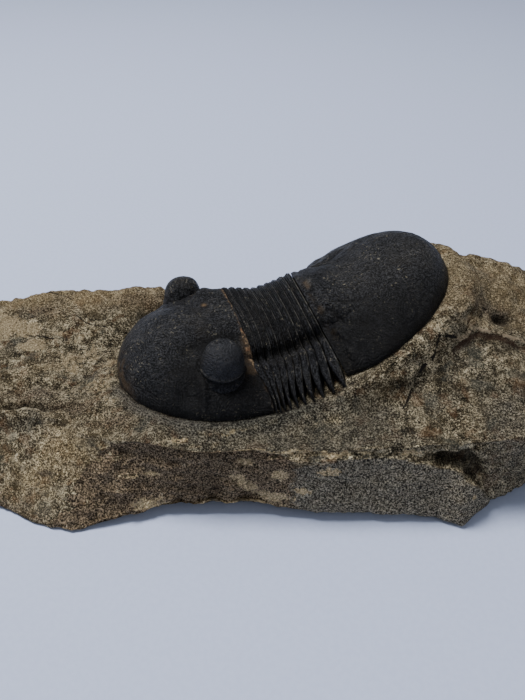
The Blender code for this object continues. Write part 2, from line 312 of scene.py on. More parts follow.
def paint(thing, name, values):
    """Stores one number a vertex, which the material reads by name."""
    attribute = thing.data.attributes.new(name, "FLOAT", "POINT")
    attribute.data.foreach_set("value", np.asarray(values, np.float32))


def grid_normals(points):
    """Unit normals of a grid of points, on the side that looks up."""
    along = np.gradient(points, axis=0)
    across = np.gradient(points, axis=1)
    found = np.cross(along, across)
    found = found * np.where(found[..., 2:] < 0, -1, 1)
    return found / np.maximum(np.linalg.norm(found, axis=2, keepdims=True), 1e-12)


def plate(name, grid, surface, relief, matrix, marks):
    """A closed shell plate: a fine grid over the surface, raised by its relief, with walls."""
    rows, columns = grid
    u, v = np.meshgrid(
        np.linspace(-1, 1, rows + 1),
        np.sin(np.linspace(-1, 1, columns + 1) * math.pi / 2),
        indexing="ij",
    )
    base = surface(u.ravel(), v.ravel()).reshape(rows + 1, columns + 1, 3)
    height = relief(u, v, base)
    points = base + grid_normals(base) * height[..., None]
    points[..., 2] = np.maximum(points[..., 2], UNDERSIDE + LEAST_WALL)
    count = (rows + 1) * (columns + 1)
    index = numbered(rows + 1, columns + 1)
    rim = np.concatenate([index[0, :-1], index[:-1, -1], index[-1, :0:-1], index[:0:-1, 0]])
    walls = points.reshape(-1, 3)[rim].copy()
    walls[:, 2] = UNDERSIDE
    foot = np.arange(len(rim)) + count
    around = np.stack([rim, np.roll(rim, -1), np.roll(foot, -1), foot], axis=-1)
    middle = len(rim) + count
    bottom = np.stack([foot, np.roll(foot, -1), np.full(len(foot), middle)], axis=-1)
    centre = walls.mean(axis=0, keepdims=True)
    vertices = np.concatenate([points.reshape(-1, 3), walls, centre])
    faces = grid_quads(index) + around.tolist() + bottom.tolist()
    made = add_mesh(name, vertices.tolist(), faces, SHELL)
    for mark, value in marks(u, v, base, height).items():
        paint(made, mark, np.concatenate([value.ravel(), np.zeros(len(walls) + 1)]))
    close_up(made, matrix)
    return made


def close_up(made, matrix):
    """Merges what meets, faces outwards, smooths and puts the mesh in the row frame."""
    mesh = bmesh.new()
    mesh.from_mesh(made.data)
    bmesh.ops.remove_doubles(mesh, verts=mesh.verts, dist=MERGE)
    bmesh.ops.dissolve_degenerate(mesh, edges=mesh.edges, dist=MERGE / 4)
    face_outwards(mesh)
    bmesh.ops.transform(mesh, matrix=matrix, verts=mesh.verts)
    mesh.to_mesh(made.data)
    mesh.free()
    made.data.shade_smooth()
    made.data.set_sharp_from_angle(angle=SHARP_EDGE)
    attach(made, "root")


# ---- Shell ----


def flank_and_axis(y):
    flank = FLANK_HEIGHT * superellipse(y / HALF_WIDTH, 2.5, 1.55)
    axis = AXIS_RISE * superellipse(np.clip(np.abs(y) / AXIS_HALF_WIDTH, 0, 1), 2.0, 2.0)
    return flank + axis


def swell(y):
    return SWELL_HEIGHT * bump_at(y, SWELL_MIDDLE, SWELL_WIDTH)


def head_surface(u, v):
    forward = eased(u)
    half_width = HALF_WIDTH * superellipse(forward * MARGIN_TAPER, 2.1, 1.92)
    blend = smoothstep(0, 0.28, forward)
    dome = HEAD_HEIGHT * superellipse(v, 2.3, 1.7)
    mixed = (1 - blend) * flank_and_axis(v * HALF_WIDTH) + blend * dome
    z = superellipse(forward, 2.6, 2.2) * mixed
    z = z + swell(v * half_width) * smoothstep(0.35, 0.1, forward)
    sweep = GENAL_SWEEP * smoothstep(PLEURA_ROOT, 1, np.abs(v)) * (1 - smoothstep(0, 0.3, forward))
    x = -JOINT_GAP / 2 - forward * HEAD_LENGTH + sweep
    return np.stack([x, v * half_width, MARGIN_HEIGHT + z], axis=1)


def tail_surface(u, v):
    backward = eased(u)
    half_width = TAIL_HALF_WIDTH * superellipse(backward * MARGIN_TAPER, 2.4, 1.95)
    half_width = half_width * (1 - 0.06 * smoothstep(0.2, 0, backward))
    y = v * half_width
    blend = smoothstep(0, 0.35, backward)
    dome = TAIL_HEIGHT * (1 + TAIL_SWELL * backward) * superellipse(v, 2.2, 1.7)
    ring = flank_and_axis(v * HALF_WIDTH)
    z = superellipse(backward, 5.0, 2.0) * ((1 - blend) * ring + blend * dome)
    x = backward * TAIL_LENGTH
    turn = TAIL_TURN * smoothstep(0, 0.3, backward)
    return np.stack([JOINT_GAP / 2 + x - turn * y, y + turn * x, MARGIN_HEIGHT + z], axis=1)


def pleura_shift(t, v):
    lean = -PLEURA_LEAN * (1 - (2 * t) ** 2) + GENAL_SWEEP * (0.5 - t)
    return lean * smoothstep(PLEURA_ROOT, 1, np.abs(v))


def segment_surface(t):
    def surface(u, v):
        y = v * HALF_WIDTH
        z = flank_and_axis(y) + swell(y) * smoothstep(0.05, -0.5, t)
        front = pleura_shift(t - 0.5 / SEGMENTS, v)
        back = pleura_shift(t + 0.5 / SEGMENTS, v)
        pitch = THORAX_LENGTH / SEGMENTS
        room = pitch / 2 * (1 - (z + MARGIN_HEIGHT) / PITCH_RADIUS - y / YAW_RADIUS) - RING_SLIT
        tip = np.clip((np.abs(v) - 0.8) / 0.2, 0, 1)
        taper = 1 - (1 - PLEURA_TIP) * tip**1.6
        x = (front + back) / 2 + u * (room + (back - front) / 2) * taper
        return np.stack([x, y, MARGIN_HEIGHT + z], axis=1)

    return surface


def at_margin(v, forward):
    """1 on the shell, falling to 0 at its outline, so that relief dies out there."""
    return smoothstep(1, 0.93, np.abs(v)) * smoothstep(1, 0.97, forward)


def painted_low_flank_shade(y):
    """Painted shade on the low flank that leans over the block's front."""
    return 0.95 * smooth_mm(-7, -16, y)


def head_relief(u, v, base):
    forward = eased(u)
    x, y = base[..., 0], base[..., 1]
    side = np.abs(y)
    left = smooth_mm(2, -2, y)
    eye_x = -EYE_FORWARD * HEAD_LENGTH
    eye_y = EYE_OUT * HALF_WIDTH
    away = np.hypot((x - eye_x) / EYE_LENGTH_RADIUS, (side - eye_y) / EYE_WIDTH_RADIUS)
    moat = -0.45 * MM * bump_at(away, 1.06, 0.12)
    deep = 0.7 + 0.75 * left
    furrow = -deep * MM * bump_mm(side, 9.7, 2.1) * smooth_mm(-20, -12, x)
    furrow = furrow * smooth_mm(1.5, -3.5, x)
    hollow = -1.2 * MM * bump_mm(x, -15.2, 2.3) * bump_mm(side, 17, 4.4)
    under_eye = -0.6 * MM * bump_mm(x, -7, 4) * bump_mm(side, 20.3, 1.2)
    line = suture_line(x, side)
    ridge = 0.75 * MM * bump_mm(line, 0, 0.8) - 0.3 * MM * bump_mm(line, 1.8, 0.8)
    outer = smooth_mm(14.5, 17, side) * smoothstep(0.98, 1.1, away)
    rise = 1.1 * MM * bump_mm(x, -4.5, 2.2) * bump_mm(y, 8.5, 2.6)
    lumps = 0.2 * MM * flat_noise(base, 6 * MM, 4, 3.1)
    lumps = lumps + 0.06 * MM * flat_noise(base, 1.1 * MM, 3, 8.7)
    edge = at_margin(v, forward)
    return (moat + furrow + hollow + under_eye + ridge * outer + rise + lumps) * edge


def suture_line(x, side):
    """Distance behind the cheek's front seam, which runs from the eye down to the margin."""
    return x + 12.1 * MM + 0.26 * np.clip(side - 16.5 * MM, 0, None)


def head_marks(u, v, base, height):
    forward = eased(u)
    x, y = base[..., 0], base[..., 1]
    speckle = flat_noise(base, 2.2 * MM, 4, 21.3)
    near = bump_mm(y, -13.5, 5)
    rear = smoothstep(0.02 + 0.07 * near, 0.0, forward + 0.02 * speckle)
    behind_eye = 0.8 * bump_mm(x, -1.8, 1.4) * bump_mm(y, -16, 2)
    far_patch = 1.2 * bump_mm(x, -3.9, 1.5) * bump_mm(y, 11.0, 1.6)
    fleck = 1.5 * bump_mm(x, -5.8, 0.5) * bump_mm(y, 2.5, 0.5)
    tip = 0.5 * smoothstep(0.9, 0.99, forward)
    stain = (0.7 * rear + behind_eye + far_patch + tip) * smoothstep(-0.35, 0.3, speckle) + fleck
    wear_and_sheen = 0.08 * bump_at(suture_line(x, np.abs(y)), 0, 0.5 * MM) * smooth_mm(16, 18, np.abs(y))
    return {
        "stain": np.clip(stain, 0, 1),
        # Painted shade in the furrows and hollows and on the low flank.
        "crease_shade": np.maximum(smooth_mm(-0.3, -1.4, height), painted_low_flank_shade(y)),
        "wear_and_sheen": wear_and_sheen,
    }


def tail_relief(u, v, base):
    backward = eased(u)
    x, y = base[..., 0], base[..., 1]
    side = np.abs(y)
    wander = flat_noise(base, 5 * MM, 3, 2.2)
    # The axis: a low leaf that narrows backwards and dies out.
    half = 10.2 * MM * np.clip(1 - x / (17 * MM), 0.02, 1) ** 0.62 + 0.5 * MM * wander
    fade_back = smooth_mm(15, 6, x)
    axis = 0.22 * MM * smooth_mm(1.0, -2.5, side - half) * fade_back
    axis = axis - 0.22 * MM * bump_at(side, half + 0.5 * MM, 0.9 * MM) * fade_back
    rings = -0.12 * MM * np.abs(np.cos(x / (2.6 * MM) * math.pi + 0.8 * wander)) ** 8
    axis = axis + rings * smooth_mm(0, -1.5, side - half) * fade_back
    # Ribs fan from the axis over the flank.
    angle = np.arctan2(side - 5 * MM, x + 1.5 * MM)
    away = np.hypot(x + 1.5 * MM, side - 5 * MM)
    fade = smooth_mm(3.6, 5.5, away) * smooth_mm(24, 8, away)
    fade = fade * smoothstep(0.05, 0.5, angle) * smooth_mm(0, 1.5, side - half)
    fade = fade * (1 - 0.75 * smoothstep(0.72, 0.97, np.abs(v)))
    phase = angle * 8.0 + 0.5 * wander
    ribs = (-0.6 * np.abs(np.cos(phase)) ** 6 + 0.2 * np.abs(np.sin(phase))) * MM * fade
    neck = -0.4 * MM * bump_at(backward, *TAIL_NECK) * smoothstep(1, 0.9, np.abs(v))
    shoulder = 0.3 * MM * bump_at(backward, 0.085, 0.016) * smooth_mm(10, 14, side)
    streaks = fractal(base.reshape(-1, 3) * np.array([0.25, 1.0, 1.0]), 1.1 * MM, 3, 9.9)
    lumps = 0.18 * MM * flat_noise(base, 7 * MM, 4, 5.2) + 0.07 * MM * streaks.reshape(x.shape)
    edge = at_margin(v, backward)
    return (axis + ribs + neck + shoulder + lumps) * edge


# Fine creases behind the tail's front edge, darkened with painted shade, as lines in its own plan, in
# millimetres.
TAIL_CREASES = (
    *(((4, -6.5), (8, -7.6), (13, -7.8)), ((2.5, -8.6), (6, -9.2), (9.8, -11))),
    *(((2, -11), (5, -12.4), (7.6, -15.5)), ((3, -13.6), (6, -15.4), (7.4, -18.8))),
    *(((1.5, 4), (7, 5), (12, 4.5)), ((8, -3), (14, -3.4), (19, -2.6))),
    *(((9, -5.4), (14, -6.4), (18, -6)), ((8, -9), (12, -11.4), (15, -12.4))),
    ((2.2, 0.5), (6, 1.2), (9, 0.6)),
)


def tail_marks(u, v, base, height):
    plan = base[..., :2].reshape(-1, 2)
    crease_shade = np.min([line_distance(plan, line) for line in TAIL_CREASES], axis=0)
    speckle = flat_noise(base, 2.2 * MM, 4, 27.3)
    backward = eased(u)
    seam = bump_at(backward, *TAIL_NECK)
    # Painted highlight: a faint sheen on the middle of the tail, carried in the wear mark.
    sheen = bump_at(base[..., 1], -5 * MM, 7 * MM) * smooth_mm(5, 12, base[..., 0])
    return {
        "stain": 0.45 * seam * smoothstep(0, 0.5, speckle),
        "shaded_groove": 0.85 * shaded_groove(crease_shade.reshape(u.shape)),
        # Painted shade in recesses and on the low flank.
        "crease_shade": np.maximum(smooth_mm(-0.1, -0.6, height), painted_low_flank_shade(base[..., 1])),
        "wear_and_sheen": 0.35 * smoothstep(0.2, 0.7, speckle) * bump_at(backward, 0.075, 0.02) + 0.06 * sheen,
    }


def ring_fields(u, base, number):
    """How far out on its flank and how far back on its ring each point is, with its waviness."""
    side = np.abs(base[..., 1])
    wave = flat_noise(base, 4 * MM, 3, 4.4 * number)
    drift = flat_noise(base, 9 * MM, 2, 7.7 * number)
    place = np.clip((u + 1) / 2 + 0.09 * wave * (1 - u * u), 0, 1)
    out = np.clip((side - AXIS_HALF_WIDTH) / (HALF_WIDTH - AXIS_HALF_WIDTH), 0, 1)
    return side, wave, drift, place, out


def segment_relief(number):
    def relief(u, v, base):
        side, wave, drift, place, out = ring_fields(u, base, number)
        on_axis = smoothstep(AXIS_HALF_WIDTH + 1 * MM, AXIS_HALF_WIDTH - 1 * MM, side)
        bold = 0.55 + 0.45 * smooth_mm(3, 12, base[..., 1])
        arch = bold * MM * (np.clip(np.sin(math.pi * place**1.15), 0, 1) ** 0.6 - 0.75)
        rim = 0.16 * MM * bump_at(place, 0.88, 0.06)
        lines = -0.2 * MM * bump_at(place, 0.24 + 0.03 * drift, 0.035)
        lines = lines - 0.22 * MM * bump_at(place, 0.47 + 0.05 * drift, 0.035) * smoothstep(-0.5, 0.1, wave)
        lines = lines - 0.2 * MM * bump_at(place, 0.72 - 0.03 * drift, 0.03)
        furrow = -1.0 * MM * bump_at(side, AXIS_HALF_WIDTH + 0.6 * MM, 1.1 * MM)
        knob = 0.6 * MM * bump_at(out, 0.34, 0.13) * (1 - u * u)
        slanted = -0.2 * MM * bump_at(place, 0.2 + 0.5 * out, 0.1) * smoothstep(0.08, 0.25, out)
        slanted = slanted * smoothstep(0.95, 0.7, out)
        between = smoothstep(0.45, 0.95, out)
        round_off = 0.3 * MM - (0.16 + 0.62 * between) * MM * np.abs(u) ** 5
        grain = 0.06 * MM * flat_noise(base, 1.1 * MM, 3, 2.5 * number)
        uneven = 0.12 * MM * drift
        flank = arch * 0.5 + knob + slanted + round_off
        return furrow + grain + uneven + on_axis * (arch + lines + rim) + (1 - on_axis) * flank

    return relief


def shaded_groove(distance):
    """1 on a fine groove line that gets painted shade, falling evenly to 0 at 0.3 mm from it."""
    return np.clip(1 - distance / (0.3 * MM), 0, 1)


def segment_marks(number):
    def marks(u, v, base, height):
        side, wave, drift, place, out = ring_fields(u, base, number)
        lines = np.abs(place - 0.24 - 0.03 * drift)
        lines = np.minimum(lines, np.abs(place - 0.72 + 0.03 * drift))
        lines = np.minimum(lines, np.abs(place - 0.47 - 0.05 * drift) + 0.2 * smoothstep(0.1, -0.3, wave))
        slanted = np.abs(place - 0.2 - 0.5 * out) + 0.05 + 0.2 * smoothstep(0.6, 0.9, out)
        on_axis = side < AXIS_HALF_WIDTH + 0.5 * MM
        speckle = flat_noise(base, 2.0 * MM, 4, 31.0 + number)
        groove = smoothstep(0.9, 1, np.abs(u))
        front_ones = 1.0 if number <= 4 else 0.5
        low = smooth_mm(13, 18, side)
        last = 0.5 * smoothstep(7.5, 9.5, number)
        share = np.clip(0.15 + 0.85 * low + last, 0, 1) * front_ones
        rear = bump_at(u, 0.78, 0.11) * smoothstep(-0.5, 0.3, speckle)
        return {
            "stain": groove * smoothstep(-0.1, 0.5, speckle) * share,
            # Painted shade in the grooves between rings and in recesses.
            "crease_shade": np.clip(groove + smooth_mm(-0.25, -0.8, height), 0, 1),
            "wear_and_sheen": np.clip(rear * (1.0 + 0.4 * last), 0, 1),
            "shaded_groove": shaded_groove(np.where(on_axis, lines, slanted) * THORAX_LENGTH / SEGMENTS),
        }

    return marks


def add_eye(name, side):
    """A turret with its palpebral cap, the bulging lens field and the rim under it."""
    around, up = EYE_GRID
    angle, tilt = np.meshgrid(
        np.linspace(0, 2 * math.pi, around, endpoint=False),
        np.linspace(-math.pi / 2, math.pi / 2, up + 1),
        indexing="ij",
    )
    ring = np.clip(np.cos(tilt), 0, 1) ** EYE_FULLNESS
    raised = np.sin(tilt)
    z = raised * np.where(raised > 0, EYE_RISE, EYE_ROOT)
    outward = side * np.sin(angle)
    rim_at = 2.1 * MM - 0.9 * MM * outward
    shows = smoothstep(-0.2, 0.5, outward)
    flare = 0.17 * MM * bump_at(z, rim_at, 0.26 * MM)
    flare = flare - 0.3 * MM * bump_at(z, rim_at - 0.8 * MM, 0.45 * MM)
    bulge = 0.32 * MM * np.sin(np.clip((z - rim_at) / (6.5 * MM), 0, 1) * math.pi)
    inner = smoothstep(0.35, -0.3, outward)
    ahead_of = smoothstep(0.3, -0.6, np.cos(angle)) * smoothstep(-1.5, 1.0, side)
    skirt = 2.4 * MM * smooth_mm(3.5, -4.0, z) * np.maximum(inner, ahead_of)
    grow = (flare + bulge) * shows + skirt
    x = np.cos(angle) * (ring * EYE_LENGTH_RADIUS + grow) - EYE_FORWARD * HEAD_LENGTH
    y = np.sin(angle) * (ring * EYE_WIDTH_RADIUS + grow) + side * EYE_OUT * HALF_WIDTH
    points = np.stack([x, y, z + EYE_MIDDLE], axis=-1)
    points += 0.05 * MM * flat_noise(points, 3 * MM, 4, 6.6)[..., None]
    faces = tube_quads(numbered(*points.shape[:2]))
    made = add_mesh(name, points.reshape(-1, 3).tolist(), faces, EYE)
    lens = shows * smoothstep(rim_at, rim_at + 0.8 * MM, z)
    paint(made, "lens", lens.ravel())
    # Painted shade in the groove under the lens field's rim.
    paint(made, "crease_shade", (bump_at(z, rim_at - 1.0 * MM, 0.6 * MM) * shows).ravel())
    paint(made, "stain", np.zeros(lens.size))
    paint(made, "wear_and_sheen", (0.4 * bump_at(z, rim_at, 0.3 * MM) * shows).ravel())
    close_up(made, plate_matrix(HEAD_JOINT))


def add_joint_fill():
    """Brown matrix left in the joint behind the head."""
    turns, count = FILL_GRID
    across = np.linspace(FILL_LEFT, FILL_RIGHT, count + 1) * MM
    ends = smooth_mm(FILL_LEFT, -14, across) * smooth_mm(FILL_RIGHT, 11, across)
    line = np.stack([across * 0, across, across * 0], axis=1)
    wide = (0.17 + 0.22 * fractal(line, 4 * MM, 4, 12.0)) * MM
    wide = wide + 0.4 * MM * bump_mm(across, -12.2, 2.4)
    wide = np.maximum(wide, 0.06 * MM) * ends + 0.04 * MM
    drift = 0.25 * MM * fractal(line, 4 * MM, 3, 17.0) - 0.5 * MM * bump_mm(across, -7, 5)
    rows = []
    for k in range(turns):
        a = math.pi * k / (turns - 1)
        shifted = line + np.array([k * 0.4 * MM, 0, 0])
        rough = 0.12 * MM * fractal(shifted, 0.9 * MM, 3, 2.0)
        x = -math.cos(a) * wide + drift + rough
        z = MARGIN_HEIGHT + flank_and_axis(across) + swell(across)
        z = z + (math.sin(a) * 0.7 - 0.3) * wide + rough - 0.1 * MM
        rows.append(np.stack([x, across, z], axis=1))
    rows.append(np.stack([drift, across, rows[0][:, 2] - 0.8 * MM], axis=1))
    points = np.stack(rows)
    index = numbered(*points.shape[:2])
    faces = tube_quads(index) + [index[:, 0].tolist(), index[:, -1].tolist()]
    made = add_mesh("joint_fill", points.reshape(-1, 3).tolist(), faces, FILL)
    close_up(made, plate_matrix(HEAD_JOINT))


# ---- Rock ----


def rock_top(x, y):
    along, across = bed_coordinates(x, y)
    bed = bed_point(along, across)[2] - JOINT_GAP / 2
    middle = (TAIL_LENGTH - HEAD_LENGTH) / 2
    half_length = (HEAD_LENGTH + THORAX_LENGTH + TAIL_LENGTH) / 2
    reach = (np.abs((along - middle) / half_length) ** 2.5 + np.abs(across / HALF_WIDTH) ** 2.5) ** 0.4
    open_rock = smoothstep(1.04, 1.25, reach)
    back = 0.1 + 0.9 * smooth_mm(-28.5, 13.5, y)
    rise = TOP_RISE * smooth_mm(5, 46, x) * back
    fall = TOP_DROP * smooth_mm(50, 72, x) * back
    tilt = TOP_TILT * smooth_mm(-6.5, 23.5, y) * smooth_mm(0, -25, x)
    behind = BACK_DROP * smooth_mm(21.5, 35.5, y) * smooth_mm(-30, -15, x)
    sink = TOP_SINK * smooth_mm(-50, -72, x)
    open_top = TOP_AT_HEAD + tilt + rise - fall - behind - sink
    return (1 - open_rock) * bed + open_rock * open_top, open_rock, beyond_margin(along, across)


def rock_foot(x, y):
    front = smoothstep(FOOT_SETBACK, 0, y - through(FRONT_FOOT, x)) * through(FOOT_LIFT, x)
    back = smoothstep(FOOT_SETBACK, 0, through(BACK_EDGE, x) - y) * BACK_LIFT
    ends = smoothstep(0.93, 1, np.abs(x) * 2 / ROCK_LENGTH) * BACK_LIFT
    return np.maximum(np.maximum(front, back), ends)


def rock_surface(a, b, c):
    """Lays a cube's points over the block, and says how far from the shell each is."""
    front_to_back = (b + 1) / 2
    up = (c + 1) / 2
    lean = END_LEAN * (1 - up) * np.sin(np.abs(a) * math.pi / 2)
    x = a * (ROCK_LENGTH / 2 - lean * smoothstep(0.6, 1, np.abs(a)))
    front = (1 - up) * through(FRONT_FOOT, x) + up * through(FRONT_BREAK, x)
    back = through(BACK_EDGE, x) - BACK_LEAN * up
    y = (1 - front_to_back) * front + front_to_back * back
    top, open_rock, margin = rock_top(x, y)
    foot = rock_foot(x, y)
    relief = ROUGH_HEIGHT * fractal(np.stack([x, y, up * top], axis=1), ROUGH_SIZE, 3)
    flat_foot = (c <= -1) & (foot <= 0)
    z = (1 - up) * foot + up * (top + relief * open_rock)
    side = np.maximum(smoothstep(0.999, 1, np.abs(a)), smoothstep(0.999, 1, np.abs(b)))
    y = y + side * np.sin(up * math.pi) * relief
    points = np.stack([x, y, np.where(flat_foot, 0, z)], axis=1)
    return points, margin, flat_foot


def cube_lattice(counts):
    """Points of a cube's surface from -1 to 1, with its quads, each corner and edge point once."""
    shape = [count + 1 for count in counts]
    number = np.arange(math.prod(shape)).reshape(shape)
    sides = [number.take(end, axis=axis) for axis in range(3) for end in (0, -1)]
    kept, inverse = np.unique(np.concatenate([side.ravel() for side in sides]), return_inverse=True)
    faces = []
    start = 0
    for side in sides:
        faces += grid_quads(inverse[start : start + side.size].reshape(side.shape))
        start += side.size
    lattice = np.stack(np.unravel_index(kept, shape), axis=1)
    return lattice / np.array(counts) * 2 - 1, faces


def segment_distance(places, start, end):
    """Distance in plan from a straight piece of a line."""
    start = np.array(start) * MM
    end = np.array(end) * MM
    run = end - start
    t = np.clip(((places - start) @ run) / (run @ run), 0, 1)
    return np.linalg.norm(places - start - t[:, None] * run, axis=1)


def line_distance(places, line):
    return np.min([segment_distance(places, a, b) for a, b in zip(line[:-1], line[1:])], axis=0)


# Cracks and ledges as lines in plan, in millimetres.
TOP_CRACKS = (
    ((43.5, -6.5), (38.9, -8), (37.6, -10.6), (35.0, -12.5), (32.8, -15.1), (30.3, -19.0)),
    ((-59, 9.4), (-54, 7), (-51, 6.6)),
    ((-57, 24), (-52, 22.5), (-49.5, 21)),
    ((-47, 14.5), (-43, 12), (-39, 11)),
)
RIGHT_LEDGE = ((40, -8), (43.4, -7.3), (48.7, -3.3), (53.9, -3.5), (59, -4.7), (72, -5.5))
LEFT_LEDGE = ((-72, -14.4), (-58, -14.8), (-53, -14.4), (-48, -16), (-43, -15.4), (-39, -18))
# Edges on the front as (x, z): the dark broken face, and the grey slab that stands before it.
DARK_EDGE = (
    *((-46, 0), (-42.5, 5), (-39.6, 9.2), (-35.7, 13.5), (-31.7, 17.1), (-22.2, 18.8)),
    *((-9.7, 19.6), (-2.6, 18.6), (4, 16.8), (12, 12)),
)
SLAB_EDGE = (
    *((-4, 13.5), (1.6, 16.4), (7.8, 16.7), (18.1, 17.2), (28.4, 17.3), (37, 14.9)),
    *((40.2, 14.3), (45.1, 9.9), (49.7, 3.1), (51, 0)),
)
HOLLOW_EDGE = ((34, 15.6), (36.8, 17.6), (40, 17.2), (43, 18), (46.5, 14), (49.4, 7.8), (51, 3))
# Pale patches on the front as (x, z, half length, half height).
FRONT_PATCHES = (
    *((15, 17.8, 2.6, 1.0), (20.6, 17.6, 2.2, 0.8), (30.9, 17.6, 3.2, 0.7), (-18.2, 19.2, 5, 0.8)),
    *((-4.7, 18.8, 3.4, 0.9), (2.5, 18.2, 5, 0.7), (-28.2, 10.6, 1.9, 0.6), (-23.9, 10.8, 2.2, 0.5)),
    *((-3.7, 14.5, 1.5, 0.8), (-2.7, 7.7, 1.4, 1.0), (3.7, 11.9, 1.7, 1.2), (14.1, 13.4, 2.1, 1.0)),
    *((2, 5.8, 3.2, 1.2), (-5.4, 10.6, 1.4, 0.8), (-4.4, 9.4, 1.1, 0.8), (-25.3, 4.4, 3.4, 1.3)),
    *((-64, 9.5, 1.2, 0.6), (47.5, 10, 0.9, 0.8), (44.5, 7, 0.7, 0.7), (8.8, 8, 1.6, 0.7)),
)
# Pale patches on the top as (x, y, half length, half breadth).
TOP_PATCHES = (
    *((-64.5, 12.2, 4.2, 3.6), (-58.6, 10.5, 3.4, 2.2), (-67.5, 15, 3, 3), (-56.5, 5, 3.4, 1.5)),
    *((-47.3, 0.3, 2.0, 2.6), (-44.8, -2.5, 1.6, 2.0), (-41.0, 2.5, 2.0, 3.0), (-36.9, -9.9, 3.2, 3.6)),
    *((-33.6, -15.6, 3, 2), (-36, -2, 1.6, 4.5), (-50.0, 8.5, 2.4, 1.0), (-45, 7, 2, 1.6)),
    *((45.5, -2.5, 3.4, 1.6), (41, -7, 2.6, 1.0), (50.5, -1.5, 3.4, 1.0), (43.5, -13.5, 1.5, 2.2)),
    *((39.5, -20, 1.8, 1.8), (38, -5.5, 2, 1.2), (57, -4, 3, 0.7)),
)


def height_over(line, x, z):
    """How far under a line of (x, z) points each place lies, negative above it."""
    return through(line, x) - z


def rock_relief(points, normals, margin):
    """Height added along the normal."""
    x, y, z = points.T
    plan = points[:, :2]
    warp = np.stack([fractal(points, 9 * MM, 3, s) for s in (1.0, 2.0, 3.0)], axis=1)
    warped = points + 2.2 * MM * warp
    upward = smoothstep(0.25, 0.75, normals[:, 2])
    steep = 1 - upward
    big = cells(warped, 11 * MM, 4.0)
    small = cells(warped, 4.2 * MM, 9.0)
    scallops = 1.5 * MM * (big[0] ** 2 - 0.35)
    chips = 0.75 * MM * (small[0] ** 2 - 0.35)
    medium = fractal(points, 4 * MM, 4, 5.0)
    fine = fractal(points, 1.3 * MM, 4, 6.0)
    strata = np.abs((z * 0.93 + 0.1 * x + 1.1 * MM * warp[:, 0]) / (3.4 * MM) % 1 - 0.5)
    layers = 0.4 * MM * (strata - 0.25)
    front = smooth_mm(-18, -22, y)
    on_front = front * smooth_mm(-74, -66, x)
    ragged = 0.7 * MM * medium + 0.35 * MM * fine
    dark = smooth_mm(-0.5, 0.6, height_over(DARK_EDGE, x, z) + ragged)
    dark = dark * smooth_mm(13, 6, x) * smooth_mm(-46, -44, x) * on_front
    slab = smooth_mm(-0.4, 0.5, height_over(SLAB_EDGE, x, z) + 0.6 * ragged)
    slab = slab * smooth_mm(-3, 4, x) * smooth_mm(51, 49, x) * on_front
    smooth_face = 1 - 0.55 * slab
    rough = steep * smooth_face * (scallops + chips + layers + 0.5 * MM * medium + 0.35 * MM * fine)
    rough = rough + (-0.7 * MM * dark + 0.9 * MM * slab) * steep
    hollow = smooth_mm(-0.5, 0.5, height_over(HOLLOW_EDGE, x, z) + ragged) * (1 - slab)
    hollow = hollow * smooth_mm(34, 37, x) * smooth_mm(51.5, 49.5, x) * on_front
    rough = rough - 2.2 * MM * hollow * smooth_mm(7, 12, z)
    calm = 0.4 + 0.6 * smooth_mm(3, 9, margin)
    top = calm * (0.35 * scallops + 0.45 * chips + 0.8 * MM * medium) + 0.17 * MM * fine
    top = top + 1.1 * MM * bump_mm(x, -38, 13) * bump_mm(y, 24, 8)
    # Tool marks that follow the shell's outline in front of the head.
    sweep = smooth_mm(-8, -20, x) * smooth_mm(-2, -10, y)
    groove = np.abs(((margin + 0.2 * MM * warp[:, 1]) / (1.0 * MM)) % 1 - 0.5)
    marks = 0.12 * MM * (groove - 0.25) * bump_mm(margin, 2.6, 2.0) * sweep
    at_head = smooth_mm(30, 8, x)
    lip = (0.1 + 0.3 * at_head) * MM * bump_mm(margin, 0.9, 0.9) * (0.6 + 0.6 * medium)
    trench = -0.25 * MM * bump_mm(margin, 2.8, 1.2) * at_head
    top = top + marks + lip + trench
    cracks = np.zeros_like(x)
    for line in TOP_CRACKS:
        away = line_distance(plan + 0.5 * MM * warp[:, :2], line)
        cracks -= 0.15 * MM * bump_mm(away, 0, 0.35)
    ledge = ledge_height(x, y)
    right = smooth_mm(42, 46, x)
    step = 0.8 * MM * (smooth_mm(-0.5, 0.5, ledge) - 1) * smooth_mm(-9, -1, ledge)
    pit = -2.2 * MM * bump_mm(x, 55.3, 2.4) * bump_mm(y, 0.5, 1.3)
    top = top + (step * right + pit) * upward + cracks * upward
    notch = -1.7 * MM * bump_mm(line_distance(plan, LEFT_LEDGE), 0, 0.75)
    notch = notch * smooth_mm(-38, -46, x)
    foot = smooth_mm(0, 1.5, z)
    return (rough + top * upward * smooth_mm(-1, 0.5, margin) + notch) * foot


def ledge_height(x, y):
    """Distance behind the ledge that runs over the rock's right end, negative in front of it."""
    return y - through(RIGHT_LEDGE, x)


def patches(first, second, places):
    """A soft field that peaks in each patch of a list."""
    field = np.zeros_like(first)
    for a, b, half_a, half_b in places:
        spread = ((first - a * MM) / (half_a * MM)) ** 2 + ((second - b * MM) / (half_b * MM)) ** 2
        field = np.maximum(field, np.exp(-0.7 * spread))
    return field


def add_rock():
    lattice, faces = cube_lattice(ROCK_GRID)
    points, margin, flat_foot = rock_surface(*lattice.T)
    made = add_mesh("rock", points.tolist(), faces, LIMESTONE)
    mesh = bmesh.new()
    mesh.from_mesh(made.data)
    face_outwards(mesh)
    mesh.to_mesh(made.data)
    mesh.free()
    height = rock_relief(points, normals_of(made), margin)
    height = np.where(flat_foot, 0, height)
    final = points + normals_of(made) * height[:, None]
    low, high = (np.array(corner) for corner in CAD_BOX)
    spare = BOX_SPARE * (high - low)
    final = np.clip(final, low - spare, high + spare)
    final[:, 2] = np.maximum(final[:, 2], 0)
    made.data.vertices.foreach_set("co", final.astype(np.float32).ravel())
    rock_marks(made, points, height, margin)
    made.data.shade_smooth()
    thin_out_underside(made)
    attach(made, "root")
    return made


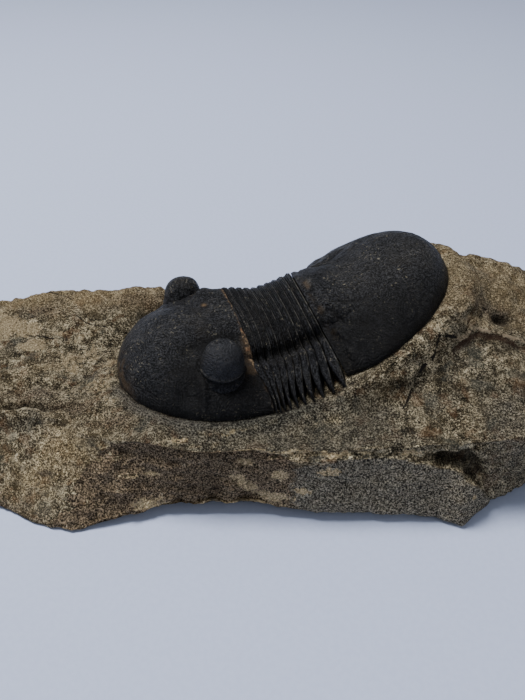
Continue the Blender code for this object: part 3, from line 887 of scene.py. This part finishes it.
def thin_out_underside(made):
    """One flat face takes the place of the fine grid on the table."""
    mesh = bmesh.new()
    mesh.from_mesh(made.data)
    flat = [face for face in mesh.faces if all(vertex.co.z < FLAT for vertex in face.verts)]
    bmesh.ops.delete(mesh, geom=flat, context="FACES")
    rim = [edge for edge in mesh.edges if edge.is_boundary]
    bmesh.ops.holes_fill(mesh, edges=rim, sides=0)
    bmesh.ops.recalc_face_normals(mesh, faces=mesh.faces)
    mesh.to_mesh(made.data)
    mesh.free()


def rock_marks(made, points, height, margin):
    """Fields the limestone reads: distances in millimetres for sharp lines, shares for soft parts."""
    x, y, z = points.T
    plan = points[:, :2]
    wander = fractal(points, 7 * MM, 5, 13.0)
    fine = fractal(points, 1.6 * MM, 4, 14.0)
    normals = normals_of(made)
    upward = smoothstep(0.2, 0.7, normals[:, 2])
    front = smooth_mm(-19, -22, y) * smoothstep(0.85, 0.7, normals[:, 2])
    solid = 0.55 + 0.75 * smooth_mm(-48, -56, x)
    pale = np.maximum(patches(x, z, FRONT_PATCHES) * front, solid * patches(x, y, TOP_PATCHES) * upward)
    rim = bump_mm(margin, 0.6, 0.5) * (0.12 + 0.4 * fine)
    under_rim = 0.9 * bump_mm(z, 3.2, 0.6) * front * bump_mm(x, -10, 14)
    scatter = 0.42 * bump_mm(x, -43, 11) * bump_mm(y, -2, 12)
    scatter += 0.42 * bump_mm(x, 44, 10) * bump_mm(y, -4, 6)
    scatter += 0.34 * bump_mm(x, 4, 13) * front
    paint(made, "cream", np.clip(pale + rim + under_rim + scatter * (0.7 + 0.5 * wander), 0, 1))
    back_strip = smooth_mm(13, 22, y) * smooth_mm(-14, -26, x)
    right_top = smooth_mm(34, 44, x) * smooth_mm(-6, 2, y) * upward
    rust = patches(x, y, ((-50.4, -1.9, 4, 2.6), (-42, -24.5, 7, 3.4), (-50, -27, 5, 3)))
    rust = rust + 0.8 * patches(x, z, ((-14, 8.6, 9, 1.2), (-34, 8, 5, 2))) * front
    ochre = 0.85 * back_strip + 0.6 * right_top + 0.6 * rust + 0.2 * smoothstep(0.1, 0.6, wander)
    paint(made, "ochre", np.clip(ochre, 0, 1))
    # Painted light: the material brightens the front faces by this share.
    paint(made, "front", front * smooth_mm(60, 52, x))
    dark = np.clip(height_over(DARK_EDGE, x, z) / MM, -3, 3)
    dark = np.where((front > 0.3) & (x > -45 * MM) & (x < 8 * MM), dark, -3)
    paint(made, "dark_face", dark * front - 3 * (1 - front))
    slab = np.clip(height_over(SLAB_EDGE, x, z) / MM, -3, 3)
    slab = slab - 3.5 * smooth_mm(20, 2, x + 3 * MM * wander)
    slab = np.where((front > 0.3) & (x > -5 * MM) & (x < 51 * MM), slab, -3)
    paint(made, "slab", slab * front - 3 * (1 - front))
    umber = 0.5 * smooth_mm(5, 1, z) + 0.35 * front * smoothstep(0.0, 0.5, wander)
    umber += patches(x, y, ((-44.9, -15.6, 3, 1.2), (-41.3, -16.8, 3, 1.2), (-31.6, -21.6, 3.5, 1.3)))
    umber += 0.8 * patches(x, y, ((-56, 17, 4, 1.6), (-30, 20, 8, 2.5), (-52, -12, 6, 2.5), (52, 2, 5, 1.5)))
    ahead = smooth_mm(-16, -20, y) * smooth_mm(-22, -14, x)
    ahead = 0.5 * ahead * smooth_mm(34, 24, x) * (1 - front)
    halo = bump_mm(margin, 1.2, 1.8) * smooth_mm(-6, -14, y)
    halo = 0.9 * halo * smooth_mm(22, 2, x)
    paint(made, "umber", np.clip(umber, 0, 1))
    paint(made, "shade", np.clip(halo + ahead, 0, 1))
    right = smooth_mm(44, 50, x) * smooth_mm(-12, -20, y)
    grey = halo + 1.1 * ahead + 0.6 * right + 0.3 * smoothstep(0.1, 0.5, -wander)
    paint(made, "grey", np.clip(grey, 0, 1))
    # Painted shade in the rock's hollows and in the tight corner where it meets the shell.
    deep = smooth_mm(-0.6, -2.0, height)
    tight = bump_mm(margin, 0.0, 0.5) * 0.6
    paint(made, "crease_shade", np.clip(deep + tight, 0, 1))
    crack = np.min([line_distance(plan, line) for line in TOP_CRACKS], axis=0)
    paint(made, "crack", np.where(upward > 0.2, np.clip(crack / MM, 0, 3), 3))
    ledge = np.where((x > 42 * MM) & (upward > 0.1), ledge_height(x, y) / MM, 5)
    paint(made, "ledge", np.clip(ledge, -5, 5))
    sweep = smooth_mm(-10, -16, x) * smooth_mm(-10, -15, y)
    sweep = sweep * smooth_mm(2.6, 1.6, margin)
    paint(made, "tooled", sweep * smooth_mm(0.2, 0.6, margin))
    paint(made, "margin", np.clip(margin / MM, -1, 12))


# ---- Colours, linear ----

BLACK = (0.0005, 0.0005, 0.0006)
CHARCOAL = (0.033, 0.0335, 0.037)
BROWN_BLACK = (0.014, 0.0115, 0.008)
WEAR_AND_SHEEN_GREY = (0.16, 0.15, 0.13)
TERRACE_GREY = (0.040, 0.040, 0.044)
FLECK_TAN = (0.15, 0.135, 0.10)
SCRATCH_GREY = (0.10, 0.095, 0.085)
STAIN_DARK = (0.035, 0.023, 0.012)
STAIN_LIGHT = (0.15, 0.10, 0.055)
CREASE_SHADE_BLACK = (0.003, 0.0028, 0.0025)
GROOVE_SHADE_BLACK = (0.0012, 0.0011, 0.001)
LENS_GREY = (0.030, 0.031, 0.035)
FACET_GREY = (0.05, 0.051, 0.056)
OLIVE_BROWN = (0.068, 0.054, 0.032)
RUST = (0.16, 0.072, 0.028)
COOL_GREY = (0.075, 0.080, 0.066)
TOOL_MARK = (0.30, 0.25, 0.20)
PALE_FLECK = (0.5, 0.44, 0.33)
PIT_BROWN = (0.015, 0.011, 0.008)
LEDGE_LIGHT = (0.42, 0.33, 0.22)
LEDGE_SHADOW_BROWN = (0.04, 0.018, 0.010)
CRACK_BLACK = (0.008, 0.006, 0.005)
HOLLOW_SHADE_BROWN = (0.014, 0.010, 0.007)
FILL_ORANGE = (0.15, 0.070, 0.032)
FLOOR_BLUE = (0.44, 0.50, 0.675)
FLOOR_PALE = (0.46, 0.52, 0.695)
# Factors on the colour under them: painted light that brightens the rock's front faces, and painted shade.
FRONT_PAINTED_LIGHT = (1.62, 1.60, 1.52)
SHADE_TINT = (0.55, 0.58, 0.60)
# Grains of one stone, from its dark to its light ones, as (noise level, colour).
OLIVE = (
    (0.435, (0.004, 0.003, 0.0015)),
    (0.47, (0.030, 0.023, 0.012)),
    (0.502, (0.108, 0.087, 0.050)),
    (0.53, (0.28, 0.232, 0.143)),
    (0.565, (0.72, 0.63, 0.44)),
)
OCHRE = ((0.36, (0.035, 0.02, 0.008)), (0.5, (0.225, 0.160, 0.078)), (0.60, (0.66, 0.52, 0.30)))
CREAM = ((0.36, (0.13, 0.095, 0.05)), (0.5, (0.36, 0.28, 0.16)), (0.62, (0.76, 0.64, 0.43)))
UMBER = ((0.42, (0.006, 0.004, 0.003)), (0.5, (0.062, 0.045, 0.027)), (0.59, (0.36, 0.27, 0.18)))
SLATE = ((0.42, (0.008, 0.007, 0.006)), (0.5, (0.074, 0.065, 0.049)), (0.59, (0.42, 0.38, 0.30)))
FILL_BROWN = ((0.38, (0.008, 0.005, 0.003)), (0.5, (0.040, 0.025, 0.013)), (0.63, (0.20, 0.135, 0.075)))


# ---- Materials ----


class Nodes:
    """Builds a node tree with short calls. Sizes and bump heights are in millimetres."""

    def __init__(self, name):
        self.material = bpy.data.materials.new(name)
        self.material.use_nodes = True
        self.tree = self.material.node_tree
        self.shader = self.tree.nodes["Principled BSDF"]
        self.object = self.node("ShaderNodeTexCoord", "Object", {})

    def put(self, socket, value):
        if isinstance(value, bpy.types.NodeSocket):
            self.tree.links.new(value, socket)
        else:
            socket.default_value = value

    def node(self, kind, output, inputs, **settings):
        """Adds a node, fills its inputs and gives one of its outputs."""
        made = self.tree.nodes.new(kind)
        for key, value in settings.items():
            setattr(made, key, value)
        for key, value in inputs.items():
            self.put(made.inputs[key], value)
        return made.outputs[output]

    def noise(self, size, detail=4.0, rough=0.55, warp=0.0, vector=None):
        inputs = {"Vector": vector or self.object, "Scale": 1 / (size * MM), "Detail": detail}
        inputs.update({"Roughness": rough, "Distortion": warp})
        return self.node("ShaderNodeTexNoise", "Fac", inputs)

    def cells(self, size):
        inputs = {"Vector": self.object, "Scale": 1 / (size * MM)}
        return self.node("ShaderNodeTexVoronoi", "Distance", inputs, feature="F1")

    def stretched(self, scale, turn):
        inputs = {"Vector": self.object, "Scale": scale, "Rotation": turn}
        return self.node("ShaderNodeMapping", "Vector", inputs)

    def mark(self, name):
        return self.node("ShaderNodeAttribute", "Fac", {}, attribute_name=name)

    def ramp(self, value, low, high, start=0.0, end=1.0):
        inputs = {"Value": value, "From Min": low, "From Max": high, "To Min": start, "To Max": end}
        return self.node("ShaderNodeMapRange", "Result", inputs, interpolation_type="SMOOTHSTEP")

    def maths(self, operation, first, second=0.5):
        return self.node("ShaderNodeMath", "Value", {0: first, 1: second}, operation=operation)

    def times(self, first, second):
        return self.maths("MULTIPLY", first, second)

    def plus(self, first, second):
        return self.maths("ADD", first, second)

    def mix(self, share, first, second, blend="MIX"):
        made = self.tree.nodes.new("ShaderNodeMix")
        made.data_type = "RGBA"
        made.blend_type = blend
        sockets = [s for s in made.inputs if s.type == "RGBA"]
        self.put(made.inputs["Factor"], share)
        for socket, value in zip(sockets, (first, second)):
            self.put(socket, value if isinstance(value, bpy.types.NodeSocket) else (*value, 1))
        return next(s for s in made.outputs if s.type == "RGBA")

    def tint(self, base, share, colour, strength=1.0):
        """Lays a colour over another where the share says so."""
        return self.mix(share if strength == 1 else self.times(share, strength), base, colour)

    def colours(self, value, stops):
        made = self.tree.nodes.new("ShaderNodeValToRGB")
        self.put(made.inputs["Fac"], value)
        elements = made.color_ramp.elements
        while len(elements) < len(stops):
            elements.new(0.5)
        for element, (place, colour) in zip(elements, stops):
            element.position = place
            element.color = (*colour, 1)
        return made.outputs["Color"]

    def bump(self, height, distance, strength=1.0, under=None):
        inputs = {"Height": height, "Distance": distance * MM, "Strength": strength}
        if under:
            inputs["Normal"] = under
        return self.node("ShaderNodeBump", "Normal", inputs)

    def finish(self, colour, roughness, normal, specular):
        self.put(self.shader.inputs["Base Color"], colour)
        self.put(self.shader.inputs["Roughness"], roughness)
        self.put(self.shader.inputs["Normal"], normal)
        self.shader.inputs["Specular IOR Level"].default_value = specular
        return self.material


def shell_material(name, lens=False):
    """Black calcite with a dull shine: fine grain, terrace lines, specks, scratches and stains, with painted
    shade in creases and grooves and a faint painted sheen.
    """
    n = Nodes(name)
    blotch = n.noise(9, 5)
    grain = n.noise(0.36, 3, 0.75)
    colour = n.mix(n.ramp(grain, 0.45, 0.62), BLACK, CHARCOAL)
    colour = n.mix(n.ramp(blotch, 0.52, 0.72, 0, 0.5), colour, BROWN_BLACK)
    # Lighter wear on ridges, ring backs and eye rims, and a painted sheen on the tail.
    colour = n.mix(n.times(n.mark("wear_and_sheen"), n.ramp(grain, 0.3, 0.6)), colour, WEAR_AND_SHEEN_GREY)
    contour = n.times(n.noise(11, 2.0, 0.5), 26.0)
    terrace = n.maths("PINGPONG", contour, 0.5)
    lighter = n.times(n.ramp(terrace, 0.3, 0.5, 0, 0.5), n.ramp(grain, 0.35, 0.6))
    colour = n.tint(colour, lighter, TERRACE_GREY)
    flecks = n.ramp(n.noise(0.5, 2, 0.5), 0.62, 0.67)
    gate = n.ramp(n.noise(3.5, 3), 0.48, 0.62)
    colour = n.mix(n.times(flecks, gate), colour, FLECK_TAN)
    thin = n.noise(1, 2, 0.5, 0.4, n.stretched((0.22, 1.6, 1.6), (0.3, 0.2, 0.5)))
    scratch = n.ramp(n.maths("ABSOLUTE", n.maths("SUBTRACT", thin, 0.5)), 0.016, 0.0)
    some = n.ramp(n.noise(5, 2), 0.45, 0.62, 0, 0.8)
    colour = n.mix(n.times(scratch, some), colour, SCRATCH_GREY)
    brown = n.mix(grain, STAIN_DARK, STAIN_LIGHT)
    colour = n.tint(colour, n.mark("stain"), brown)
    # Painted shade in creases, grooves and on the low flanks.
    colour = n.tint(colour, n.mark("crease_shade"), CREASE_SHADE_BLACK, 0.7)
    roughness = n.ramp(n.noise(1.6, 5, 0.6), 0.25, 0.75, 0.34, 0.55)
    # Painted shade along the fine grooves of the rings and the tail's creases.
    groove_shade = n.ramp(n.mark("shaded_groove"), 0.5, 0.78)
    colour = n.tint(colour, groove_shade, GROOVE_SHADE_BLACK, 0.85)
    normal = n.bump(n.noise(2.5, 4), 0.5, 0.35)
    normal = n.bump(n.maths("SUBTRACT", 1.0, groove_shade), 0.22, 1.0, normal)
    normal = n.bump(terrace, 0.28, 0.8, normal)
    normal = n.bump(grain, 0.4, 1.0, normal)
    if lens:
        glassy = n.times(n.mark("lens"), n.ramp(grain, 0.35, 0.6, 0.2, 0.8))
        colour = n.tint(colour, glassy, LENS_GREY)
        field = n.cells(0.32)
        lit = n.times(n.ramp(field, 0.5, 0.1), n.mark("lens"))
        colour = n.tint(colour, lit, FACET_GREY, 0.35)
        normal = n.bump(lit, 0.07, 0.6, normal)
    return n.finish(colour, roughness, normal, 0.11)


def limestone_colour(n):
    broad = n.noise(13, 5, 0.6)
    middle = n.noise(2.4, 6, 0.74, 0.3)
    grain = n.noise(0.36, 4, 0.82)
    value = n.plus(n.times(middle, 0.38), n.times(grain, 0.62))
    base = n.colours(value, OLIVE)
    base = n.mix(n.ramp(broad, 0.4, 0.6, 0, 0.35), base, OLIVE_BROWN)
    rusty = n.times(n.ramp(n.noise(4.5, 4, 0.65), 0.54, 0.64), n.ramp(grain, 0.3, 0.6))
    base = n.tint(base, rusty, RUST, 0.5)
    cool = n.ramp(n.noise(5.5, 4, 0.6), 0.56, 0.66, 0, 0.45)
    base = n.tint(base, cool, COOL_GREY)
    return base, grain, middle


def rock_material(name):
    """Grainy olive-brown limestone, with ochre, cream, dark brown and grey parts; painted light brightens
    its front faces and painted shade darkens its hollows.
    """
    n = Nodes(name)
    base, grain, middle = limestone_colour(n)
    ragged = n.maths("SUBTRACT", n.noise(1.5, 5, 0.7), 0.5)
    crumbs = n.maths("SUBTRACT", n.noise(0.8, 3, 0.7), 0.5)
    ochre = n.colours(grain, OCHRE)
    cream = n.colours(grain, CREAM)
    umber = n.colours(grain, UMBER)
    grey = n.colours(grain, SLATE)
    base = n.tint(base, n.mark("ochre"), ochre, 0.7)
    base = n.tint(base, n.mark("umber"), umber, 0.8)
    base = n.tint(base, n.mark("grey"), grey, 0.75)
    shift = n.times(ragged, 2.2)
    dark = n.ramp(n.plus(n.mark("dark_face"), shift), -0.3, 0.1)
    base = n.tint(base, dark, umber, 0.88)
    slab = n.ramp(n.plus(n.mark("slab"), n.times(ragged, 2.0)), -0.25, 0.25)
    base = n.tint(base, slab, grey, 0.85)
    groove = n.maths("PINGPONG", n.plus(n.mark("margin"), ragged), 0.3)
    tooled = n.times(n.mark("tooled"), n.ramp(groove, 0.17, 0.27))
    base = n.tint(base, tooled, TOOL_MARK, 0.75)
    field = n.plus(n.mark("cream"), n.times(n.plus(ragged, crumbs), 1.5))
    base = n.mix(n.ramp(field, 0.55, 0.72, 0, 0.85), base, cream)
    fleck_field = n.ramp(n.noise(5, 3), 0.46, 0.6)
    flecks = n.times(n.ramp(n.noise(0.9, 3, 0.6), 0.66, 0.72), fleck_field)
    base = n.tint(base, flecks, PALE_FLECK)
    pit_field = n.ramp(n.noise(4, 3), 0.45, 0.6)
    pits = n.times(n.ramp(n.noise(1.1, 3, 0.6), 0.33, 0.27), pit_field)
    base = n.tint(base, pits, PIT_BROWN, 0.85)
    # Painted light on the front faces.
    base = n.mix(n.mark("front"), base, FRONT_PAINTED_LIGHT, "MULTIPLY")
    base = n.mix(n.mark("shade"), base, SHADE_TINT, "MULTIPLY")
    ledge = n.plus(n.mark("ledge"), n.times(ragged, 1.2))
    light_line = n.times(n.ramp(ledge, 0.0, 0.25), n.ramp(ledge, 0.85, 0.55))
    light_line = n.times(light_line, n.ramp(middle, 0.45, 0.55))
    base = n.tint(base, light_line, LEDGE_LIGHT, 0.8)
    # Painted shadow under the ledge's step.
    shadow_line = n.times(n.ramp(ledge, -1.6, -0.5), n.ramp(ledge, 0.15, -0.1))
    base = n.tint(base, shadow_line, LEDGE_SHADOW_BROWN, 0.8)
    crack = n.plus(n.mark("crack"), n.times(ragged, 0.3))
    base = n.mix(n.ramp(crack, 0.27, 0.15), base, CRACK_BLACK)
    # Painted shade in hollows and at the shell's edge.
    base = n.tint(base, n.mark("crease_shade"), HOLLOW_SHADE_BROWN, 0.75)
    normal = n.bump(n.noise(2.2, 6, 0.72, 0.4), 1.6, 0.9)
    normal = n.bump(n.cells(0.9), 0.3, 0.5, normal)
    normal = n.bump(grain, 0.8, 1.0, normal)
    return n.finish(base, n.ramp(grain, 0.3, 0.7, 0.82, 0.98), normal, 0.15)


def fill_material(name):
    """Orange-brown matrix in the joint."""
    n = Nodes(name)
    grain = n.noise(0.6, 5, 0.7)
    patch = n.noise(3, 3)
    colour = n.colours(grain, FILL_BROWN)
    colour = n.mix(n.ramp(patch, 0.54, 0.64, 0, 0.5), colour, FILL_ORANGE)
    normal = n.bump(grain, 0.3, 0.9)
    return n.finish(colour, 0.85, normal, 0.3)


def floor_material(name):
    n = Nodes(name)
    fine = n.noise(1.2, 4)
    colour = n.mix(n.ramp(fine, 0.35, 0.65), FLOOR_BLUE, FLOOR_PALE)
    return n.finish(colour, 0.8, n.bump(fine, 0.05, 0.2), 0.2)


SHELL = shell_material("black_calcite_shell")
EYE = shell_material("black_calcite_eye", lens=True)
LIMESTONE = rock_material("limestone")
FILL = fill_material("joint_matrix")

# ---- The object ----

head = plate("head_shield", HEAD_GRID, head_surface, head_relief, plate_matrix(HEAD_JOINT), head_marks)
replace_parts(head, "cranidium", "left_free_cheek", "right_free_cheek")
add_eye("left_eye", -1)
add_eye("right_eye", 1)
for number in range(1, SEGMENTS + 1):
    t = (number - 0.5) / SEGMENTS - 0.5
    ring = plate(
        f"ring_{number:02d}",
        RING_GRID,
        segment_surface(t),
        segment_relief(number),
        plate_matrix(t),
        segment_marks(number),
    )
    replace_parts(ring, f"thorax_segment_{number:02d}")
tail = plate("tail_shield", TAIL_GRID, tail_surface, tail_relief, plate_matrix(TAIL_JOINT), tail_marks)
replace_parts(tail, "pygidium")
add_joint_fill()
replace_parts(add_rock(), "matrix_rock")

# ---- Floor, light and camera ----

FLOOR_SIDE = 3
FLOOR_BACK = 5
LIT_PLACE = Vector((0, 0, 0.02))
ROOM_COLOUR = (0.86, 0.91, 1.0, 1)
ROOM_LIGHT = 0.3
LOOK_AT = Vector((0, -5.0, 25.5)) * MM
ELEVATION = math.radians(38)
DISTANCE = 159.1 * MM
# Sensor width and focal length, in the camera's millimetres.
SENSOR = 36
LENS = 36
NEAREST = 1 * MM

floor_data = bpy.data.meshes.new("floor")
corners = [(-FLOOR_SIDE, -FLOOR_SIDE, 0), (FLOOR_SIDE, -FLOOR_SIDE, 0)]
corners += [(FLOOR_SIDE, FLOOR_BACK, 0), (-FLOOR_SIDE, FLOOR_BACK, 0)]
floor_data.from_pydata(corners, [], [(0, 1, 2, 3)])
floor_data.materials.append(floor_material("floor"))
floor = bpy.data.objects.new("floor", floor_data)
bpy.context.scene.collection.objects.link(floor)


def add_light(name, place, size, power, colour):
    data = bpy.data.lights.new(name, "AREA")
    data.size = size
    data.energy = power
    data.color = colour
    made = bpy.data.objects.new(name, data)
    made.location = place
    made.rotation_euler = (LIT_PLACE - Vector(place)).to_track_quat("-Z", "Y").to_euler()
    bpy.context.scene.collection.objects.link(made)


add_light("window", place=(-0.28, 0.12, 0.8), size=0.3, power=11.3, colour=(0.99, 0.985, 1.0))
add_light("fill", place=(0.5, -0.7, 0.6), size=0.8, power=1.5, colour=(1.0, 0.98, 0.95))

world = bpy.data.worlds.new("room")
world.use_nodes = True
world.node_tree.nodes["Background"].inputs["Color"].default_value = ROOM_COLOUR
world.node_tree.nodes["Background"].inputs["Strength"].default_value = ROOM_LIGHT
bpy.context.scene.world = world

camera_data = bpy.data.cameras.new("camera")
camera_data.sensor_width = SENSOR
camera_data.lens = LENS
camera_data.clip_start = NEAREST
camera = bpy.data.objects.new("camera", camera_data)
camera.location = LOOK_AT + Vector((0, -math.cos(ELEVATION), math.sin(ELEVATION))) * DISTANCE
camera.rotation_euler = (math.pi / 2 - ELEVATION, 0, 0)
bpy.context.scene.collection.objects.link(camera)
bpy.context.scene.camera = camera
